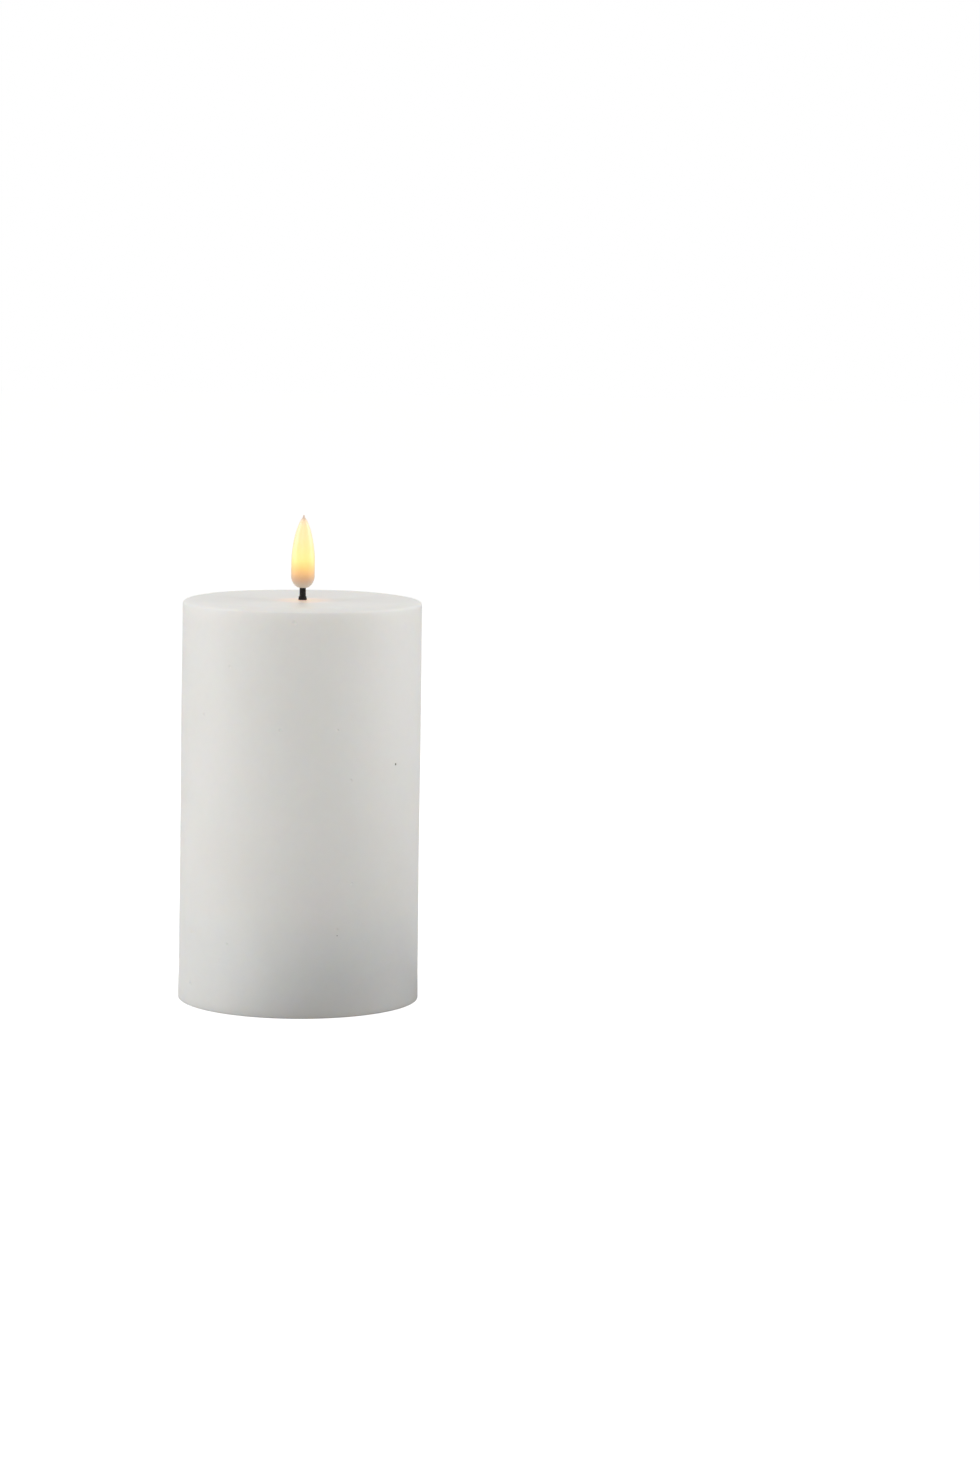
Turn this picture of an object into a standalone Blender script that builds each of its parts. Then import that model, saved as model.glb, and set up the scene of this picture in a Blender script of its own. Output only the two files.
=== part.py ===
"""A flameless LED pillar candle: a hollow wax body, a glowing flame on a stiff black wick, and a plastic
battery housing in its foot. The origin is the centre of the resting ring, +Z is up and the front is -Y."""

from math import cos, pi, sin

import bmesh
import bpy
from mathutils import Matrix, Vector

MM = 0.001
GAP = 0.3  # the clearance kept between pieces that touch

# The wax body
WAX_RADIUS = 37.5
WAX_HEIGHT = 125.0
WAX_WALL = 8.0
WAX_CEILING = 112.0  # underside of the wax top
DISH_DEPTH = 0.65
RIM_RADIUS = 1.6
FOOT_BEVEL = 0.6
SEAT_HEIGHT = 26.0  # the step inside, over the housing
WICK_HOLE_RADIUS = 1.5
WELL_DEPTH = 1.2  # the wider mouth of the wick's hole, round the collar

# The flame and the wick
WICK_RADIUS = 1.0
WICK_BORE_RADIUS = 0.68
WICK_LENGTH_SEEN = 4.0
COLLAR_RADIUS = 1.3
COLLAR_HEIGHT = 1.3
FLAME_HEIGHT = 22.75
FLAME_RADIUS = 3.7
FLAME_WALL = 0.7
FLAME_FOOT_RADIUS = 1.3
FLAME_FOOT_POWER = 1.7  # how round the foot is: 2 is an ellipse, 1 a cone
FLAME_WIDEST_FROM = 3.4
FLAME_WIDEST_TO = 7.5
SURFACE_AT_WICK = WAX_HEIGHT - DISH_DEPTH
FLAME_FOOT = SURFACE_AT_WICK + WICK_LENGTH_SEEN
WICK_TOP = FLAME_FOOT + 1.2
WICK_BOTTOM = 106.0
LAMP_RADIUS = 1.5
LAMP_SHOULDER = 3.8  # where the lamp's dome starts, above its base
HOLDER_RADIUS = 9.0

# The battery housing: a cup whose floor is a little above the table
CUP_RADIUS = 33.2
CUP_WALL = 1.4
FLOOR_BOTTOM = 1.5
FLOOR_TOP = 3.9
CUP_TOP = 23.5
CUP_CHAMFER = 0.5
COVER_BOTTOM = CUP_TOP + GAP
COVER_TOP = COVER_BOTTOM + 1.8

# The cells lie along X, side by side and head to tail
CELL_RADIUS = 7.25
CELL_LENGTH = 50.5
NUB_RADIUS = 2.75
NUB_LENGTH = 1.2
CELL_Y = 7.4
CELL_Z = 10.6
NUB_TIP_X = 27.0

# The bay that holds them, and the contact plates at its ends
BAY_HALF_X = 29.2
BAY_HALF_Y = 15.0
BAY_CEILING = 18.4
BAY_WALL = 1.2
PLATE_X = 28.2
PLATE_THICKNESS = 0.5
SPRING_WIRE_RADIUS = 0.35

# The battery door and its hinge, whose axis runs along X at the front edge
DOOR_SIZE_X = 57.4
DOOR_SIZE_Y = 33.4
DOOR_THICKNESS = 1.4
DOOR_CORNER = 6.0
DOOR_CHAMFER = 0.25
HINGE_Y = -17.6
HINGE_Z = FLOOR_BOTTOM + DOOR_THICKNESS / 2
HOOK_X = 16.0
HOOK_LENGTH = 7.0
HOOK_NECK = 3.4
LATCH_WIDTH = 9.0
SWEEP_RELIEF = (49.4, 0.65, 2.0)

# The switch and the circuit board, behind the bay
BOARD_CENTRE = (0.0, 20.85)
BOARD_SIZE = (30.0, 7.9, 1.0)
BOARD_BOTTOM = 11.0
BOARD_SCREWS = ((-12.6, 22.6), (12.6, 22.6))
SWITCH_Y = 20.6
SWITCH_BODY = (13.0, 5.0, 4.4)
SWITCH_TRAVEL = 2.0
CARRIAGE = (7.0, 2.8, 2.2)
STEM = (2.6, 1.6)
KNOB_BOTTOM = 0.8

COVER_SCREWS = ((-13.0, -23.5), (13.0, -23.5), (0.0, 28.0))
GROMMET_Y = 18.0
GROMMET_HOLE_RADIUS = 3.1


# ---------------------------------------------------------------- scene

def clear_scene():
    for thing in list(bpy.data.objects):
        bpy.data.objects.remove(thing, do_unlink=True)


def new_collection(name):
    collection = bpy.data.collections.new(name)
    bpy.context.scene.collection.children.link(collection)
    return collection


def make_material(name, colour, roughness, metallic=0.0):
    material = bpy.data.materials.new(name)
    material.use_nodes = True
    shader = material.node_tree.nodes["Principled BSDF"]
    shader.inputs["Base Color"].default_value = (*colour, 1.0)
    shader.inputs["Roughness"].default_value = roughness
    shader.inputs["Metallic"].default_value = metallic
    return material


# ---------------------------------------------------------------- shape helpers, all in millimetres

def place(name, data, material, centre=(0, 0, 0)):
    """An object of the candle. With no material it is a cutter, kept out of the part."""
    made = bpy.data.objects.new(name, data)
    made.location = Vector(centre) * MM
    if material is None:
        cutters.objects.link(made)
        made.hide_render = True
        made.display_type = "WIRE"
    else:
        candle.objects.link(made)
        data.materials.append(material)
    return made


def mesh_from(name, shape):
    """A mesh from a bmesh drawn in millimetres, with its faces turned outwards."""
    bmesh.ops.scale(shape, vec=(MM, MM, MM), verts=shape.verts)
    bmesh.ops.recalc_face_normals(shape, faces=shape.faces)
    mesh = bpy.data.meshes.new(name)
    shape.to_mesh(mesh)
    shape.free()
    return mesh


def is_upright(edge):
    return abs(edge.verts[0].co.z - edge.verts[1].co.z) > 1e-6


def box(name, size, centre, material=None, corner=0.0, bevel=0.0):
    """A box. corner rounds its four upright edges. bevel softens every edge, or with rounded corners the
    edges of its top and bottom only."""
    shape = bmesh.new()
    bmesh.ops.create_cube(shape, size=1.0)
    bmesh.ops.scale(shape, vec=size, verts=shape.verts)
    if corner:
        upright = [edge for edge in shape.edges if is_upright(edge)]
        bmesh.ops.bevel(shape, geom=upright, offset=corner, segments=5, profile=0.5, affect="EDGES")
    if bevel:
        soft = [edge for edge in shape.edges if not (corner and is_upright(edge))]
        bmesh.ops.bevel(shape, geom=soft, offset=bevel, segments=1, profile=0.5, affect="EDGES")
    return place(name, mesh_from(name, shape), material, centre)


def cylinder(name, radius, bottom, top, centre=(0, 0), material=None, segments=24, axis="Z"):
    """A cylinder between two heights, or between two places along X."""
    shape = bmesh.new()
    bmesh.ops.create_cone(shape, cap_ends=True, segments=segments, radius1=radius, radius2=radius,
                          depth=top - bottom)
    middle = (top + bottom) / 2
    if axis == "X":
        lying = Vector((0, 0, 1)).rotation_difference(Vector((1, 0, 0))).to_matrix()
        bmesh.ops.rotate(shape, matrix=lying, verts=shape.verts)
        return place(name, mesh_from(name, shape), material, (middle, *centre))
    return place(name, mesh_from(name, shape), material, (*centre, middle))


def turned(name, profile, material, segments=32, centre=(0, 0, 0), axis="Z"):
    """A turned shape. The profile's (radius, height) points run down its outer side, from top to bottom.
    They start and end on the axis, or go round in a loop that stays clear of it."""
    mesh = bpy.data.meshes.new(name)
    count = len(profile)
    on_axis = profile[0][0] == 0 and profile[-1][0] == 0
    edges = [(i, (i + 1) % count) for i in range(count - on_axis)]
    mesh.from_pydata([(radius * MM, 0, height * MM) for radius, height in profile], edges, [])
    made = place(name, mesh, material, centre)
    screw = made.modifiers.new("Turn", "SCREW")
    screw.steps = screw.render_steps = segments
    screw.use_merge_vertices = on_axis
    screw.merge_threshold = 0.00001
    if axis == "X":
        made.rotation_euler = (0, pi / 2, 0)
    return made


def tube(name, points, radius, material, resolution=2):
    """A round wire along the points, with closed ends."""
    curve = bpy.data.curves.new(name, "CURVE")
    curve.dimensions = "3D"
    curve.bevel_depth = radius * MM
    curve.bevel_resolution = resolution
    curve.use_fill_caps = True
    spline = curve.splines.new("POLY")
    spline.points.add(len(points) - 1)
    for point, spot in zip(spline.points, points):
        point.co = (*(Vector(spot) * MM), 1.0)
    return place(name, curve, material)


def smooth_route(corners, steps=4):
    """Points on a smooth curve (Catmull-Rom) through a route's corners."""
    ends = [2 * Vector(corners[0]) - Vector(corners[1]), 2 * Vector(corners[-1]) - Vector(corners[-2])]
    spots = [ends[0], *map(Vector, corners), ends[1]]
    route = []
    for a, b, c, d in zip(spots, spots[1:], spots[2:], spots[3:]):
        for step in range(steps):
            t = step / steps
            route.append(0.5 * (2 * b + (c - a) * t + (2 * a - 5 * b + 4 * c - d) * t * t
                                + (3 * b - a - 3 * c + d) * t ** 3))
    return [*route, Vector(corners[-1])]


def combine(target, other, operation):
    modifier = target.modifiers.new(other.name, "BOOLEAN")
    modifier.operation = operation
    modifier.solver = "EXACT"
    modifier.object = other
    return target


def finish_mesh(made):
    """Makes the turned, cut and joined shape final, then marks its sharp edges and smooths the rest."""
    graph = bpy.context.evaluated_depsgraph_get()
    mesh = bpy.data.meshes.new_from_object(made.evaluated_get(graph))
    made.modifiers.clear()
    made.data = mesh
    mesh.shade_smooth()
    mesh.set_sharp_from_angle(angle=pi / 6)


def cut(target, *others):
    for other in others:
        combine(target, other, "DIFFERENCE")
    return target


def join(target, *others):
    for other in others:
        combine(target, other, "UNION")
    return target


# ---------------------------------------------------------------- wax, wick and flame

def dish_height(radius):
    """The wax top sinks gently from the rim to the wick."""
    share = min(radius / (WAX_RADIUS - RIM_RADIUS), 1.0)
    return WAX_HEIGHT - DISH_DEPTH * (1 - share ** 3)


def make_wax_body():
    inner = WAX_RADIUS - WAX_WALL
    foot_inner = CUP_RADIUS + GAP
    well_radius = COLLAR_RADIUS + GAP
    well_floor = SURFACE_AT_WICK - WELL_DEPTH
    profile = [(WICK_HOLE_RADIUS, WAX_CEILING), (WICK_HOLE_RADIUS, well_floor), (well_radius, well_floor)]
    profile += [(radius, dish_height(radius)) for radius in (well_radius, 12.0, 20.0, 27.0, 32.0)]
    for step in range(5):
        angle = pi / 2 * (1 - step / 4)
        profile.append((WAX_RADIUS - RIM_RADIUS * (1 - cos(angle)),
                        WAX_HEIGHT - RIM_RADIUS * (1 - sin(angle))))
    profile += [(WAX_RADIUS, FOOT_BEVEL), (WAX_RADIUS - FOOT_BEVEL, 0), (foot_inner, 0),
                (foot_inner, SEAT_HEIGHT), (inner, SEAT_HEIGHT), (inner, WAX_CEILING)]
    return turned("wax_body", profile, materials["wax"], segments=64)


def flame_radius(height):
    """The flame's outer radius above its foot: a rounded foot, an upright waist, then a long taper."""
    if height < FLAME_WIDEST_FROM:
        share = 1 - height / FLAME_WIDEST_FROM
        grown = (1 - share ** FLAME_FOOT_POWER) ** (1 / FLAME_FOOT_POWER)
        return FLAME_FOOT_RADIUS + (FLAME_RADIUS - FLAME_FOOT_RADIUS) * grown
    share = max(height - FLAME_WIDEST_TO, 0) / (FLAME_HEIGHT - FLAME_WIDEST_TO)
    return FLAME_RADIUS * (1 - share ** 2) ** 0.72


def make_flame_shell():
    """A thin shell, open at its foot round the wick."""
    steps = 14
    heights = [FLAME_HEIGHT * sin(pi / 2 * step / steps) for step in range(steps, 0, -1)]
    outer = [(0.0, FLAME_FOOT + FLAME_HEIGHT)]
    outer += [(flame_radius(height), FLAME_FOOT + height) for height in (*heights[1:], 1.1, 0.4, 0.0)]
    inside = [(flame_radius(height) - FLAME_WALL, FLAME_FOOT + height)
              for height in (0.9, 1.6, 3.4, 8.0, 12.5, 16.5, 19.5)]
    profile = [*outer, (FLAME_FOOT_RADIUS - 0.05, FLAME_FOOT), *inside, (0.0, FLAME_FOOT + 21.5)]
    return turned("flame_shell", profile, materials["flame"], segments=24)


def make_wick():
    turned("wick_tube", [(WICK_BORE_RADIUS, WICK_TOP), (WICK_RADIUS, WICK_TOP), (WICK_RADIUS, WICK_BOTTOM),
                         (WICK_BORE_RADIUS, WICK_BOTTOM)], materials["black"], segments=16)
    inner = WICK_RADIUS + 0.1
    base = SURFACE_AT_WICK - 0.8
    top = SURFACE_AT_WICK + COLLAR_HEIGHT
    turned("wick_collar", [(inner, top), (COLLAR_RADIUS - 0.1, top), (COLLAR_RADIUS, top - 0.3),
                           (COLLAR_RADIUS, base), (inner, base)], materials["black"], segments=16)


def make_lamp():
    """The lamp stands on the wick's end, its leads run down the wick, and the holder clasps the wick."""
    seat = WICK_TOP + GAP
    shoulder = seat + LAMP_SHOULDER
    flange = LAMP_RADIUS + 0.2
    profile = [(LAMP_RADIUS * sin(angle), shoulder + LAMP_RADIUS * cos(angle))
               for angle in (0, pi / 8, pi / 4, 3 * pi / 8, pi / 2)]
    profile += [(LAMP_RADIUS, seat + 1.0), (flange, seat + 1.0), (flange, seat), (0, seat)]
    turned("led_lamp", profile, materials["lens"], segments=16)
    for number, side in ((1, -1), (2, 1)):
        cylinder(f"led_lead_{number}", 0.22, WICK_BOTTOM - 1.5, seat - GAP, (side * 0.36, 0),
                 materials["steel"], 8)
    top = WAX_CEILING - GAP
    bore = WICK_RADIUS + 0.35
    turned("lamp_holder", [(bore, top), (HOLDER_RADIUS, top), (HOLDER_RADIUS, top - 1.8), (2.8, top - 2.2),
                           (2.6, top - 5.3), (bore, top - 5.3)], materials["plastic"], segments=24)


# ---------------------------------------------------------------- battery housing

def make_base_housing():
    """One moulding: floor, skirt, the bay that opens downward, and the posts for the screws."""
    inner = CUP_RADIUS - CUP_WALL
    wall = [(0, FLOOR_TOP), (inner, FLOOR_TOP), (inner, CUP_TOP), (CUP_RADIUS, CUP_TOP),
            (CUP_RADIUS, FLOOR_BOTTOM + CUP_CHAMFER), (CUP_RADIUS - CUP_CHAMFER, FLOOR_BOTTOM),
            (0, FLOOR_BOTTOM)]
    cup = turned("base_housing", wall, materials["plastic"], 48)
    bay_top = BAY_CEILING + BAY_WALL
    block = box("bay_block", (2 * CUP_RADIUS, 2 * (BAY_HALF_Y + BAY_WALL), bay_top - FLOOR_TOP + 1),
                (0, 0, (bay_top + FLOOR_TOP - 1) / 2))
    combine(block, cylinder("bay_block_round", CUP_RADIUS - 0.6, 0, CUP_TOP, segments=48), "INTERSECT")
    join(cup, block)
    for number, spot in enumerate(COVER_SCREWS, 1):
        join(cup, cylinder(f"cover_post_{number}", 2.8, FLOOR_BOTTOM + 1, 8.0, spot, segments=16))
    for number, spot in enumerate(BOARD_SCREWS, 1):
        join(cup, cylinder(f"board_post_{number}", 1.9, FLOOR_BOTTOM + 1, BOARD_BOTTOM - GAP, spot,
                           segments=16))
    pocket = box("bay_pocket", (2 * BAY_HALF_X, 2 * BAY_HALF_Y, BAY_CEILING - FLOOR_TOP),
                 (0, 0, (BAY_CEILING + FLOOR_TOP) / 2))
    combine(pocket, cylinder("bay_pocket_round", inner, 0, CUP_TOP, segments=48), "INTERSECT")
    cut(cup, pocket, box("bay_mouth", (54.8, 2 * BAY_HALF_Y, 6.0), (0, 0, FLOOR_TOP - 1), corner=2.0))
    cut_door_recess(cup)
    cut_switch_slot(cup)
    for number, spot in enumerate(COVER_SCREWS, 1):
        cut(cup, cylinder(f"cover_screw_hole_{number}", 1.3, 0, 9.0, spot, segments=16),
            cylinder(f"cover_screw_sink_{number}", 2.5, 0, FLOOR_BOTTOM + 1.9, spot, segments=16))
    for number, spot in enumerate(BOARD_SCREWS, 1):
        cut(cup, cylinder(f"board_screw_hole_{number}", 0.9, 5.0, 12.0, spot, segments=12))
    for side in (-1, 1):
        cut(cup, box(f"tab_slot_{side + 2}", (1.3, 3.8, 3.0),
                     (PLATE_X + PLATE_THICKNESS / 2, side * CELL_Y, BAY_CEILING + 0.8)))
    return cup


def cut_door_recess(cup):
    """The rebate for the door, the hooks' notches and snap-in bearings, and the latch's notch.
    The rebate's front edge is cut back below, where the door's own edge sweeps past as it opens."""
    depth = DOOR_THICKNESS + GAP
    middle = FLOOR_BOTTOM + depth / 2 - 0.5
    cut(cup, box("door_rebate", (DOOR_SIZE_X + 2 * GAP, DOOR_SIZE_Y + 2 * GAP, depth + 1), (0, 0, middle),
                 corner=DOOR_CORNER + GAP))
    for side in (-1, 1):
        notch = box(f"hook_notch_{side + 2}", (HOOK_NECK + 2 * GAP, 3.0, depth + 1),
                    (side * HOOK_X, HINGE_Y + 0.5, middle))
        span = HOOK_LENGTH / 2 + GAP
        bearing = cylinder(f"hook_bearing_{side + 2}", 0.8, side * HOOK_X - span, side * HOOK_X + span,
                           (HINGE_Y, HINGE_Z), segments=16, axis="X")
        mouth = box(f"hook_mouth_{side + 2}", (2 * span, 1.4, 2.0),
                    (side * HOOK_X, HINGE_Y + 0.15, HINGE_Z - 1.0))
        cut(cup, notch, bearing, mouth)
    cut(cup, box("door_sweep", SWEEP_RELIEF, (0, HINGE_Y + 0.575, HINGE_Z - 1.3)))
    cut(cup, box("latch_notch", (LATCH_WIDTH + 2 * GAP, 2.8, 4.5),
                 (0, DOOR_SIZE_Y / 2 - 0.4, FLOOR_TOP - 1.0)))


def cut_switch_slot(cup):
    """A slot for the switch's stem, in a shallow finger recess."""
    cut(cup, box("switch_slot", (STEM[0] + 2 * SWITCH_TRAVEL + 2 * GAP, STEM[1] + 2 * GAP, 6.0),
                 (0, SWITCH_Y, FLOOR_TOP - 1)))
    cut(cup, box("switch_recess", (11.0, 3.8, 1.6), (0, SWITCH_Y + 0.3, FLOOR_BOTTOM), corner=1.2))


def make_housing_cover():
    """The cup's lid, with three screw posts that hang from it and a hole for the lamp's wires."""
    lid = [(0, COVER_TOP), (CUP_RADIUS - CUP_CHAMFER, COVER_TOP), (CUP_RADIUS, COVER_TOP - CUP_CHAMFER),
           (CUP_RADIUS, COVER_BOTTOM), (0, COVER_BOTTOM)]
    cover = turned("housing_cover", lid, materials["plastic"], 48)
    for number, spot in enumerate(COVER_SCREWS, 1):
        join(cover, cylinder(f"lid_post_{number}", 2.6, 8.3, COVER_TOP - 0.5, spot, segments=16))
        cut(cover, cylinder(f"lid_post_hole_{number}", 1.3, 5.0, 18.0, spot, segments=16))
    cut(cover, cylinder("grommet_hole", GROMMET_HOLE_RADIUS, COVER_BOTTOM - 1, COVER_TOP + 1,
                        (0, GROMMET_Y), segments=20))
    return cover


def make_grommet():
    """A rubber ring with a flange on each face of the cover."""
    under = COVER_BOTTOM - GAP
    over = COVER_TOP + GAP
    waist = GROMMET_HOLE_RADIUS - GAP
    turned("wire_grommet", [(1.7, over + 0.8), (3.6, over + 0.8), (4.2, over), (waist, over), (waist, under),
                            (3.9, under), (3.6, under - 0.8), (1.7, under - 0.8)],
           materials["rubber"], segments=20, centre=(0, GROMMET_Y, 0))


def make_screw(name, spot, head_bottom, head_radius, head_height, shank_radius, shank_end):
    """A screw that points up if shank_end is above its head, and down if not."""
    up = shank_end > head_bottom
    head_side = head_bottom if up else head_bottom + head_height
    neck = head_bottom + head_height if up else head_bottom
    taper = shank_radius * 0.9 if up else -shank_radius * 0.9
    profile = [(0, shank_end), (shank_radius * 0.4, shank_end), (shank_radius, shank_end - taper),
               (shank_radius, neck), (head_radius, neck), (head_radius, head_side), (0, head_side)]
    screw = turned(name, profile if up else profile[::-1], materials["steel"], 16, (*spot, 0))
    for turn, size in (("a", (head_radius * 1.3, 0.5, 0.9)), ("b", (0.5, head_radius * 1.3, 0.9))):
        slot = box(f"{name}_slot_{turn}", size, (*spot, head_side))
        cut(screw, slot)
    return screw


def make_screws():
    for number, spot in enumerate(COVER_SCREWS, 1):
        make_screw(f"cover_screw_{number}", spot, FLOOR_BOTTOM + 0.2, 2.1, 1.4, 1.0, 17.0)
    board_top = BOARD_BOTTOM + BOARD_SIZE[2]
    for number, spot in enumerate(BOARD_SCREWS, 1):
        make_screw(f"board_screw_{number}", spot, board_top + GAP, 1.4, 1.0, 0.6, 6.5)


def make_battery_door():
    """A plate with two hooks whose round bars are the hinge, and a latch tongue at the far edge."""
    door = box("battery_door", (DOOR_SIZE_X, DOOR_SIZE_Y, DOOR_THICKNESS), (0, HINGE_Y, HINGE_Z),
               materials["plastic"], corner=DOOR_CORNER, bevel=DOOR_CHAMFER)
    door.data.transform(Matrix.Translation((0, -HINGE_Y * MM, 0)))  # its origin stays on the hinge's axis
    for side in (-1, 1):
        x = side * HOOK_X
        join(door, box(f"hook_neck_{side + 2}", (HOOK_NECK, 1.6, 1.2), (x, HINGE_Y + 0.8, HINGE_Z)),
             cylinder(f"hook_bar_{side + 2}", 0.7, x - HOOK_LENGTH / 2, x + HOOK_LENGTH / 2,
                      (HINGE_Y, HINGE_Z), segments=16, axis="X"))
    edge = DOOR_SIZE_Y / 2
    cut(door, box("finger_gutter", (14.0, 1.2, 3.0), (0, edge - 3.6, HINGE_Z)))
    for side in (-1, 1):
        cut(door, box(f"tongue_slit_{side + 2}", (1.0, 5.0, 3.0), (side * 6.5, edge - 1.5, HINGE_Z)))
    tongue = box("latch_tongue", (LATCH_WIDTH, 1.0, 2.6), (0, edge - 0.9, HINGE_Z + 1.0))
    nose = box("latch_nose", (LATCH_WIDTH, 1.0, 0.6), (0, edge - 0.1, HINGE_Z + 2.1), bevel=0.15)
    bridge = box("latch_bridge", (3.0, 3.0, DOOR_THICKNESS), (0, edge - 3.6, HINGE_Z))
    join(door, bridge, tongue, nose)
    for side in (-1, 1):
        join(door, box(f"door_rib_{side + 2}", (46.0, 1.0, 0.8), (0, side * 10.4, FLOOR_BOTTOM + 1.7)))
    return door


# ---------------------------------------------------------------- cells and contacts

def make_cells():
    """The positive end of the first cell points along +X, that of the second along -X."""
    body_end = NUB_TIP_X - NUB_LENGTH
    far_end = NUB_TIP_X - CELL_LENGTH
    for number, side in ((1, 1), (2, -1)):
        profile = [(0, NUB_TIP_X), (NUB_RADIUS - 0.3, NUB_TIP_X), (NUB_RADIUS, NUB_TIP_X - 0.3),
                   (NUB_RADIUS, body_end), (CELL_RADIUS - 0.6, body_end), (CELL_RADIUS, body_end - 0.6),
                   (CELL_RADIUS, far_end + 0.4), (CELL_RADIUS - 0.4, far_end), (0, far_end)]
        cell = turned(f"battery_cell_{number}", profile, materials["cell"], 32,
                      (0, -side * CELL_Y, CELL_Z), axis="X")
        cell.rotation_euler.y *= side


def plate(name, side, y_from, y_to):
    """A contact plate at the bay's end on the given side."""
    return box(name, (PLATE_THICKNESS, y_to - y_from, 12.0),
               (side * (PLATE_X + PLATE_THICKNESS / 2), (y_from + y_to) / 2, CELL_Z + 0.2),
               materials["nickel"])


def dimple(name, side, y):
    """The raised button that meets a cell's positive nub."""
    reach = PLATE_X - NUB_TIP_X - GAP
    ends = sorted((side * (PLATE_X - reach), side * (PLATE_X + 0.2)))
    return cylinder(name, 2.0, *ends, (y, CELL_Z), segments=16, axis="X")


def tab(name, y):
    """The solder tab that stands up through the bay's ceiling."""
    return box(name, (PLATE_THICKNESS, 3.0, 6.0), (PLATE_X + PLATE_THICKNESS / 2, y, 18.3))


def make_contacts():
    join(plate("bridge_contact", -1, -12.4, 12.4), dimple("bridge_dimple", -1, CELL_Y))
    join(plate("plus_contact", 1, -12.4, -2.4), dimple("plus_dimple", 1, -CELL_Y), tab("plus_tab", -CELL_Y))
    join(plate("minus_contact", 1, 2.4, 12.4), tab("minus_tab", CELL_Y))
    base = PLATE_X - GAP - SPRING_WIRE_RADIUS
    tip = CELL_LENGTH - NUB_TIP_X + GAP + SPRING_WIRE_RADIUS
    for number, side, y in ((1, -1, -CELL_Y), (2, 1, CELL_Y)):
        turns, steps = 3.5, 14
        count = int(turns * steps)
        points = []
        for i in range(count + 1):
            share = i / count
            angle = 2 * pi * i / steps
            radius = 4.4 - 1.9 * share
            points.append((side * (base + (tip - base) * share), y + radius * cos(angle),
                           CELL_Z + radius * sin(angle)))
        tube(f"contact_spring_{number}", points, SPRING_WIRE_RADIUS, materials["steel"])


# ---------------------------------------------------------------- circuit board and switch

def make_board():
    top = BOARD_BOTTOM + BOARD_SIZE[2]
    board = box("circuit_board", BOARD_SIZE, (*BOARD_CENTRE, BOARD_BOTTOM + BOARD_SIZE[2] / 2),
                materials["board"])
    for number, spot in enumerate(BOARD_SCREWS, 1):
        cut(board, cylinder(f"board_hole_{number}", 0.9, BOARD_BOTTOM - 1, top + 1, spot, segments=12))
    stand = top + GAP
    box("controller_chip", (4.9, 3.9, 1.5), (-3.6, 20.4, stand + 0.75), materials["black"], bevel=0.15)
    can = [(0, 3.0), (0.9, 3.0), (1.0, 2.9), (1.0, -3.0), (0, -3.0)]
    turned("timer_crystal", can, materials["steel"], 12, (4.0, 18.2, stand + 1.0), axis="X")
    turned("capacitor", [(0, 5.4), (1.7, 5.4), (2.0, 5.1), (2.0, 0.9), (1.85, 0.7), (2.0, 0.5), (2.0, 0.0),
                         (0, 0.0)], materials["black"], 20, (4.6, 22.2, stand))
    half = [(0, 1.8), (0.8, 1.7), (0.85, 1.2), (0.7, 0.9)]
    spool = [*half, *((radius, -height) for radius, height in reversed(half))]
    turned("resistor", spool, materials["resistor"], 12, (-9.4, 18.9, stand + 0.85), axis="X")


def make_switch():
    top = BOARD_BOTTOM - GAP
    middle = top - SWITCH_BODY[2] / 2
    body = box("switch_body", SWITCH_BODY, (0, SWITCH_Y, middle), materials["steel"])
    room = [CARRIAGE[0] + 2 * SWITCH_TRAVEL + 2 * GAP, CARRIAGE[1] + 2 * GAP, CARRIAGE[2] + 2 * GAP]
    cut(body, box("carriage_room", room, (0, SWITCH_Y, middle)))
    cut(body, box("stem_room", (STEM[0] + 2 * SWITCH_TRAVEL + 2 * GAP, STEM[1] + 2 * GAP, 3.0),
                  (0, SWITCH_Y, middle - 2)))
    slider = box("switch_slider", CARRIAGE, (0, SWITCH_Y, middle), materials["black"])
    stem_middle = (middle + KNOB_BOTTOM) / 2
    join(slider, box("slider_stem", (*STEM, middle - KNOB_BOTTOM), (0, SWITCH_Y, stem_middle), bevel=0.2))
    return slider


# ---------------------------------------------------------------- wires

def make_wires():
    solder = BOARD_BOTTOM + BOARD_SIZE[2] + GAP
    beside_tab = PLATE_X - GAP - 0.55
    red = [(beside_tab, -CELL_Y, 20.7), (24.0, -4.5, 21.2), (20.0, 5.0, 21.2), (15.5, 13.5, 21.0),
           (11.0, 18.0, 18.5), (9.4, 19.6, solder)]
    black = [(beside_tab, CELL_Y, 20.7), (24.0, 11.5, 21.3), (19.0, 17.5, 19.5), (13.5, 19.6, 17.0),
             (11.8, 19.6, solder)]
    for name, route in (("red", red), ("black", black)):
        tube(f"battery_wire_{name}", smooth_route(route), 0.55, materials[f"wire_{name}"])
    for name, side, pad in (("red", -1, (-8.8, 23.0)), ("black", 1, (0.4, 23.6))):
        route = [(side * 0.65, 0, 104.0), (side * 0.9, 0.4, 98.0), (side * 2.2, 4.5, 84.0),
                 (side * 1.4, 9.0, 66.0), (side * 2.0, 15.0, 46.0), (side * 0.85, GROMMET_Y, 31.0),
                 (side * 0.8, GROMMET_Y, 22.5), (pad[0] * 0.8, 21.4, 17.5), (*pad, solder)]
        tube(f"led_wire_{name}", smooth_route(route), 0.5, materials[f"wire_{name}"])


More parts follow.
